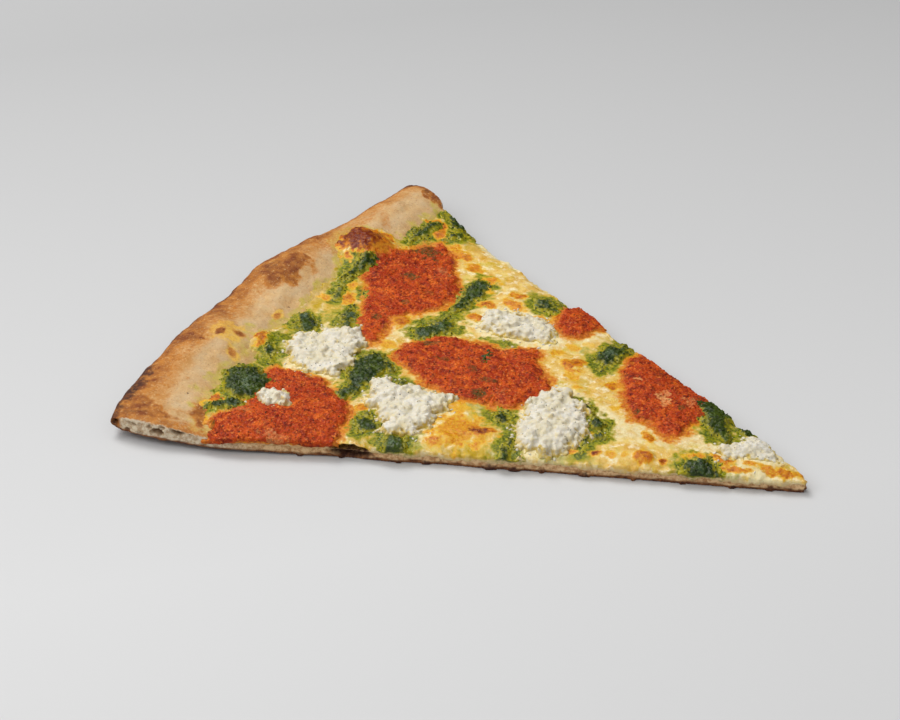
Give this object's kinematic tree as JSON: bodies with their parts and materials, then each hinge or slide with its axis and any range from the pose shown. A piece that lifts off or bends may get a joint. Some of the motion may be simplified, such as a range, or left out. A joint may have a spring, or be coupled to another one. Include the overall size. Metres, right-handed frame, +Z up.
{
  "type": "vodka sauce pizza slice",
  "caption": "Wedge of thin-crust pizza with a browned rounded rim, melted mozzarella, pools of vodka sauce, lumps of ricotta and dollops of pesto.",
  "frame": {"origin": "middle of the slice's box, on the table it lies on", "axes": "+Z up; +X from the rim towards the tip, along the slice; +Y towards the cut that lies to the left of that way"},
  "size_m": [0.2288, 0.1904, 0.0142],
  "materials": {
    "baked_dough": "baked wheat dough, matt, floury in places and browned to dark at the rim",
    "melted_cheese": "melted mozzarella, cream to golden, oily and softly glossy",
    "vodka_sauce": "baked tomato and cream sauce, fine-grained and moist",
    "ricotta": "fresh curd cheese, soft white, grainy",
    "pesto": "ground basil in oil, dark green, wet and coarse"
  },
  "bodies": {
    "root": {"crust": "baked_dough", "cheese": "melted_cheese", "sauce_rim": "vodka_sauce", "sauce_middle": "vodka_sauce", "sauce_front": "vodka_sauce", "sauce_tip": "vodka_sauce", "sauce_back": "vodka_sauce", "ricotta_rim": "ricotta", "ricotta_middle": "ricotta", "ricotta_tip": "ricotta", "ricotta_back": "ricotta", "ricotta_crumb": "ricotta", "ricotta_point": "ricotta", "pesto_long": "pesto", "pesto_heel": "pesto", "pesto_corner": "pesto", "pesto_01": "pesto", "pesto_02": "pesto", "pesto_03": "pesto", "pesto_04": "pesto", "pesto_05": "pesto", "pesto_06": "pesto", "pesto_07": "pesto", "pesto_08": "pesto", "pesto_09": "pesto", "pesto_10": "pesto", "pesto_11": "pesto", "pesto_12": "pesto", "pesto_13": "pesto", "pesto_14": "pesto", "pesto_15": "pesto", "pesto_16": "pesto", "pesto_17": "pesto", "pesto_18": "pesto", "pesto_19": "pesto", "pesto_20": "pesto", "pesto_21": "pesto", "pesto_22": "pesto", "pesto_23": "pesto", "pesto_24": "pesto"}
  },
  "joints": []
}
